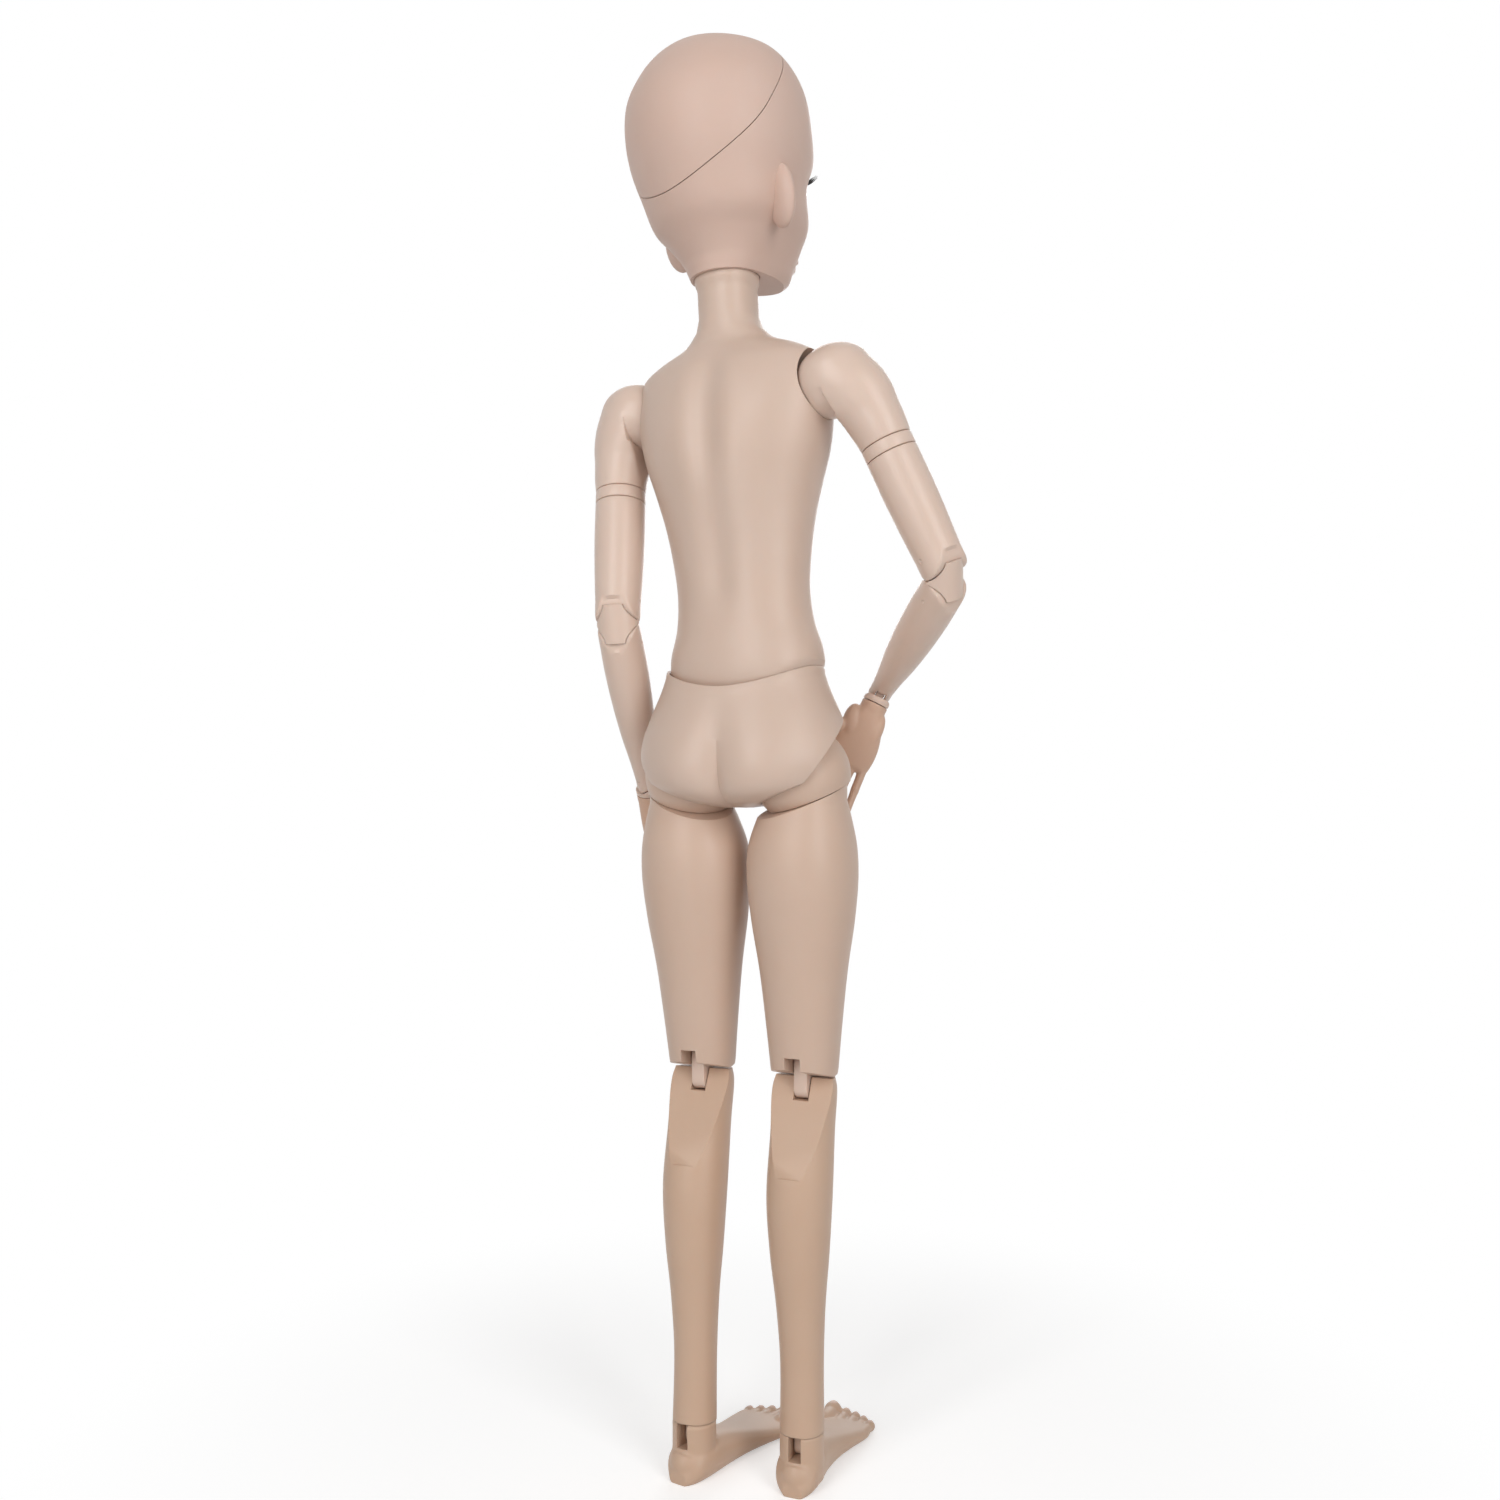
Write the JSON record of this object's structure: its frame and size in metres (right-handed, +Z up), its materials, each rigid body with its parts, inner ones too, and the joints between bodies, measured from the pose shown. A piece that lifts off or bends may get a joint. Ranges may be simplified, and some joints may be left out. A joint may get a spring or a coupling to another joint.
{
  "type": "ball jointed doll",
  "caption": "Tall slim unclothed doll with a bald head, jointed at neck, waist, shoulders, elbows, wrists, hips, knees and ankles, standing with one hand on its hip",
  "frame": {"origin": "on the floor under the middle of the standing doll's outline", "axes": "+Z up, the doll faces -Y, its left side is +X"},
  "size_m": [0.162, 0.1034, 0.5914],
  "materials": {
    "pelvis_shell": "satin skin tone",
    "waist_post": "matt inner plastic",
    "waist_ball": "matt inner plastic",
    "torso_shell": "satin skin tone",
    "waist_socket": "matt inner plastic",
    "neck_post": "matt inner plastic",
    "neck_ball": "matt inner plastic",
    "head_shell": "soft satin skin tone",
    "head_socket": "matt inner plastic",
    "head_magnet": "satin",
    "left_eye": "gloss",
    "right_eye": "gloss",
    "left_lashes": "matt",
    "right_lashes": "matt",
    "head_cap": "soft satin skin tone",
    "cap_magnet": "satin",
    "left_shoulder_peg": "matt inner plastic",
    "left_shoulder_cap": "satin skin tone",
    "left_shoulder_pin": "satin",
    "left_upper_arm": "satin skin tone",
    "left_arm_band": "satin skin tone",
    "left_elbow_link": "satin skin tone",
    "left_elbow_upper_pin": "satin",
    "left_elbow_lower_pin": "satin",
    "left_forearm": "satin skin tone",
    "left_wrist_link": "satin skin tone",
    "left_hand": "satin skin tone",
    "left_hip_peg": "matt inner plastic",
    "left_hip_ball": "satin skin tone",
    "left_hip_pin": "satin",
    "left_thigh": "satin skin tone",
    "left_knee_link": "satin skin tone",
    "left_knee_upper_pin": "satin",
    "left_knee_lower_pin": "satin",
    "left_calf": "satin skin tone",
    "left_ankle_peg": "matt inner plastic",
    "left_ankle_pin": "satin",
    "left_foot": "satin skin tone",
    "right_shoulder_peg": "matt inner plastic",
    "right_shoulder_cap": "satin skin tone",
    "right_shoulder_pin": "satin",
    "right_upper_arm": "satin skin tone",
    "right_arm_band": "satin skin tone",
    "right_elbow_link": "satin skin tone",
    "right_elbow_upper_pin": "satin",
    "right_elbow_lower_pin": "satin",
    "right_forearm": "satin skin tone",
    "right_wrist_link": "satin skin tone",
    "right_hand": "satin skin tone",
    "right_hip_peg": "matt inner plastic",
    "right_hip_ball": "satin skin tone",
    "right_hip_pin": "satin",
    "right_thigh": "satin skin tone",
    "right_knee_link": "satin skin tone",
    "right_knee_upper_pin": "satin",
    "right_knee_lower_pin": "satin",
    "right_calf": "satin skin tone",
    "right_ankle_peg": "matt inner plastic",
    "right_ankle_pin": "satin",
    "right_foot": "satin skin tone"
  },
  "bodies": {
    "pelvis": {"pelvis_shell": "pelvis_shell"},
    "waist_post": {"waist_post": "waist_post"},
    "waist_ball": {"waist_ball": "waist_ball"},
    "torso": {"torso_shell": "torso_shell", "waist_socket": "waist_socket"},
    "neck_post": {"neck_post": "neck_post"},
    "neck_ball": {"neck_ball": "neck_ball"},
    "head": {"head_shell": "head_shell", "head_socket": "head_socket", "head_magnet": "head_magnet", "left_eye": "left_eye", "right_eye": "right_eye", "left_lashes": "left_lashes", "right_lashes": "right_lashes"},
    "head_cap": {"head_cap": "head_cap", "cap_magnet": "cap_magnet"},
    "left_shoulder_peg": {"left_shoulder_peg": "left_shoulder_peg"},
    "left_shoulder_cap": {"left_shoulder_cap": "left_shoulder_cap", "left_shoulder_pin": "left_shoulder_pin"},
    "left_upper_arm": {"left_upper_arm": "left_upper_arm", "left_arm_band": "left_arm_band"},
    "left_elbow_link": {"left_elbow_link": "left_elbow_link", "left_elbow_upper_pin": "left_elbow_upper_pin", "left_elbow_lower_pin": "left_elbow_lower_pin"},
    "left_forearm": {"left_forearm": "left_forearm"},
    "left_wrist_link": {"left_wrist_link": "left_wrist_link"},
    "left_hand": {"left_hand": "left_hand"},
    "left_hip_peg": {"left_hip_peg": "left_hip_peg"},
    "left_hip_ball": {"left_hip_ball": "left_hip_ball", "left_hip_pin": "left_hip_pin"},
    "left_thigh": {"left_thigh": "left_thigh"},
    "left_knee_link": {"left_knee_link": "left_knee_link", "left_knee_upper_pin": "left_knee_upper_pin", "left_knee_lower_pin": "left_knee_lower_pin"},
    "left_calf": {"left_calf": "left_calf"},
    "left_ankle_peg": {"left_ankle_peg": "left_ankle_peg", "left_ankle_pin": "left_ankle_pin"},
    "left_foot": {"left_foot": "left_foot"},
    "right_shoulder_peg": {"right_shoulder_peg": "right_shoulder_peg"},
    "right_shoulder_cap": {"right_shoulder_cap": "right_shoulder_cap", "right_shoulder_pin": "right_shoulder_pin"},
    "right_upper_arm": {"right_upper_arm": "right_upper_arm", "right_arm_band": "right_arm_band"},
    "right_elbow_link": {"right_elbow_link": "right_elbow_link", "right_elbow_upper_pin": "right_elbow_upper_pin", "right_elbow_lower_pin": "right_elbow_lower_pin"},
    "right_forearm": {"right_forearm": "right_forearm"},
    "right_wrist_link": {"right_wrist_link": "right_wrist_link"},
    "right_hand": {"right_hand": "right_hand"},
    "right_hip_peg": {"right_hip_peg": "right_hip_peg"},
    "right_hip_ball": {"right_hip_ball": "right_hip_ball", "right_hip_pin": "right_hip_pin"},
    "right_thigh": {"right_thigh": "right_thigh"},
    "right_knee_link": {"right_knee_link": "right_knee_link", "right_knee_upper_pin": "right_knee_upper_pin", "right_knee_lower_pin": "right_knee_lower_pin"},
    "right_calf": {"right_calf": "right_calf"},
    "right_ankle_peg": {"right_ankle_peg": "right_ankle_peg", "right_ankle_pin": "right_ankle_pin"},
    "right_foot": {"right_foot": "right_foot"}
  },
  "joints": [
    {"name": "waist_turn", "type": "hinge", "parent": "pelvis", "child": "waist_post", "pos_m": [0.01079, 0.0131, 0.35459], "axis": [0.014, 0, 0.9999], "range_deg": [-15, 15]},
    {"name": "waist_bend", "type": "hinge", "parent": "waist_post", "child": "waist_ball", "pos_m": [0.01079, 0.0131, 0.35459], "axis": [0.9962, -0.0854, -0.0139], "range_deg": [-12, 8]},
    {"name": "waist_tilt", "type": "hinge", "parent": "waist_ball", "child": "torso", "pos_m": [0.01079, 0.0131, 0.35459], "axis": [0.0854, 0.9963, -0.0012], "range_deg": [-7, 5]},
    {"name": "neck_turn", "type": "hinge", "parent": "torso", "child": "neck_post", "pos_m": [0.01901, 0.01256, 0.49334], "axis": [0.0591, -0.0039, 0.9982], "range_deg": [-35, 40]},
    {"name": "head_nod", "type": "hinge", "parent": "neck_post", "child": "neck_ball", "pos_m": [0.01901, 0.01256, 0.49334], "axis": [0.9946, -0.0853, -0.0593], "range_deg": [-14, 14]},
    {"name": "head_tilt", "type": "hinge", "parent": "neck_ball", "child": "head", "pos_m": [0.01901, 0.01256, 0.49334], "axis": [0.3966, 0.9178, -0.0199], "range_deg": [-11, 11]},
    {"name": "head_cap_lift", "type": "slide", "parent": "head", "child": "head_cap", "axis": [0.3699, 0.783, 0.5001], "range_m": [0, 0.05]},
    {"name": "left_arm_swing", "type": "hinge", "parent": "torso", "child": "left_shoulder_peg", "pos_m": [0.0608, 0.00891, 0.44072], "axis": [-0.9946, 0.0853, 0.0593], "range_deg": [-13, 80]},
    {"name": "left_arm_raise", "type": "hinge", "parent": "left_shoulder_peg", "child": "left_shoulder_cap", "pos_m": [0.0608, 0.00891, 0.44072], "axis": [-0.0963, -0.9715, -0.2166], "range_deg": [0, 45]},
    {"name": "left_arm_turn", "type": "hinge", "parent": "left_shoulder_cap", "child": "left_upper_arm", "pos_m": [0.07071, 0.00819, 0.43955], "axis": [0.098, -0.2258, 0.9692], "range_deg": [-10, 40]},
    {"name": "left_elbow_upper_bend", "type": "hinge", "parent": "left_upper_arm", "child": "left_elbow_link", "pos_m": [0.06262, 0.02682, 0.35959], "axis": [-0.9754, -0.2151, 0.0485], "range_deg": [-9, 35]},
    {"name": "left_elbow_lower_bend", "type": "hinge", "parent": "left_elbow_link", "child": "left_forearm", "pos_m": [0.06227, 0.02459, 0.34254], "axis": [-0.9754, -0.2151, 0.0485], "range_deg": [-16, 35]},
    {"name": "left_wrist_bend", "type": "hinge", "parent": "left_forearm", "child": "left_wrist_link", "pos_m": [0.0661, -0.00559, 0.28567], "axis": [0.3871, 0.825, -0.4118], "range_deg": [-30, 15]},
    {"name": "left_hand_turn", "type": "hinge", "parent": "left_wrist_link", "child": "left_hand", "pos_m": [0.06651, -0.00887, 0.2795], "axis": [-0.0594, 0.468, 0.8818], "range_deg": [-50, 50]},
    {"name": "left_leg_swing", "type": "hinge", "parent": "pelvis", "child": "left_hip_peg", "pos_m": [0.03435, 0.0131, 0.28725], "axis": [-0.9999, 0, 0.014], "range_deg": [-12, 36]},
    {"name": "left_leg_spread", "type": "hinge", "parent": "left_hip_peg", "child": "left_hip_ball", "pos_m": [0.03435, 0.0131, 0.28725], "axis": [0.0005, -0.9994, 0.0349], "range_deg": [-1, 22]},
    {"name": "left_thigh_turn", "type": "hinge", "parent": "left_hip_ball", "child": "left_thigh", "pos_m": [0.03416, 0.01275, 0.27726], "axis": [-0.2746, 0.2636, 0.9247], "range_deg": [-12, 8]},
    {"name": "left_knee_upper_bend", "type": "hinge", "parent": "left_thigh", "child": "left_knee_link", "pos_m": [0.03208, 0.00898, 0.16935], "axis": [0.9998, -0.0002, -0.0192], "range_deg": [-2.8, 16]},
    {"name": "left_knee_lower_bend", "type": "hinge", "parent": "left_knee_link", "child": "left_calf", "pos_m": [0.03191, 0.00924, 0.16035], "axis": [0.9998, -0.0002, -0.0192], "range_deg": [-2.8, 57]},
    {"name": "left_ankle_turn", "type": "hinge", "parent": "left_calf", "child": "left_ankle_peg", "pos_m": [0.02914, 0.02266, 0.016], "axis": [0.0191, -0.0925, 0.9955], "range_deg": [-3, 10]},
    {"name": "left_foot_bend", "type": "hinge", "parent": "left_ankle_peg", "child": "left_foot", "pos_m": [0.02914, 0.02266, 0.016], "axis": [0.985, -0.1688, -0.0346], "range_deg": [-15, 15]},
    {"name": "right_arm_swing", "type": "hinge", "parent": "torso", "child": "right_shoulder_peg", "pos_m": [-0.02871, 0.01659, 0.44606], "axis": [-0.9946, 0.0853, 0.0593], "range_deg": [-2, 35]},
    {"name": "right_arm_raise", "type": "hinge", "parent": "right_shoulder_peg", "child": "right_shoulder_cap", "pos_m": [-0.02871, 0.01659, 0.44606], "axis": [0.0752, 0.9849, -0.1556], "range_deg": [-1, 35]},
    {"name": "right_arm_turn", "type": "hinge", "parent": "right_shoulder_cap", "child": "right_upper_arm", "pos_m": [-0.03784, 0.0179, 0.44991], "axis": [0.3995, 0.1132, 0.9097], "range_deg": [-20, 3]},
    {"name": "right_elbow_upper_bend", "type": "hinge", "parent": "right_upper_arm", "child": "right_elbow_link", "pos_m": [-0.07081, 0.00856, 0.37486], "axis": [-0.522, -0.7877, 0.3273], "range_deg": [-24, 20]},
    {"name": "right_elbow_lower_bend", "type": "hinge", "parent": "right_elbow_link", "child": "right_forearm", "pos_m": [-0.06893, 0.00095, 0.35955], "axis": [-0.522, -0.7877, 0.3273], "range_deg": [-30, 20]},
    {"name": "right_wrist_bend", "type": "hinge", "parent": "right_forearm", "child": "right_wrist_link", "pos_m": [-0.03164, -0.03832, 0.32451], "axis": [-0.8133, -0.3757, -0.4444], "range_deg": [-3, 45]},
    {"name": "right_hand_turn", "type": "hinge", "parent": "right_wrist_link", "child": "right_hand", "pos_m": [-0.02876, -0.03712, 0.31824], "axis": [-0.4104, -0.171, 0.8957], "range_deg": [-15, 30]},
    {"name": "right_leg_swing", "type": "hinge", "parent": "pelvis", "child": "right_hip_peg", "pos_m": [-0.01465, 0.0131, 0.28794], "axis": [-0.9999, 0, 0.014], "range_deg": [-12, 8]},
    {"name": "right_leg_spread", "type": "hinge", "parent": "right_hip_peg", "child": "right_hip_ball", "pos_m": [-0.01465, 0.0131, 0.28794], "axis": [-0.0003, 0.9998, -0.0209], "range_deg": [-1, 22]},
    {"name": "right_thigh_turn", "type": "hinge", "parent": "right_hip_ball", "child": "right_thigh", "pos_m": [-0.01466, 0.01289, 0.27794], "axis": [0.2939, 0.2508, 0.9223], "range_deg": [-8, 12]},
    {"name": "right_knee_upper_bend", "type": "hinge", "parent": "right_thigh", "child": "right_knee_link", "pos_m": [-0.01485, 0.01063, 0.16996], "axis": [1, 0.0003, -0.0017], "range_deg": [-1.2, 18]},
    {"name": "right_knee_lower_bend", "type": "hinge", "parent": "right_knee_link", "child": "right_calf", "pos_m": [-0.01487, 0.01063, 0.16096], "axis": [1, 0.0003, -0.0017], "range_deg": [-1.2, 58]},
    {"name": "right_ankle_turn", "type": "hinge", "parent": "right_calf", "child": "right_ankle_peg", "pos_m": [-0.01512, 0.01392, 0.016], "axis": [0.0018, -0.0227, 0.9997], "range_deg": [-10, 3]},
    {"name": "right_foot_bend", "type": "hinge", "parent": "right_ankle_peg", "child": "right_foot", "pos_m": [-0.01512, 0.01392, 0.016], "axis": [0.9997, 0.0262, -0.0012], "range_deg": [-15, 15]}
  ]
}
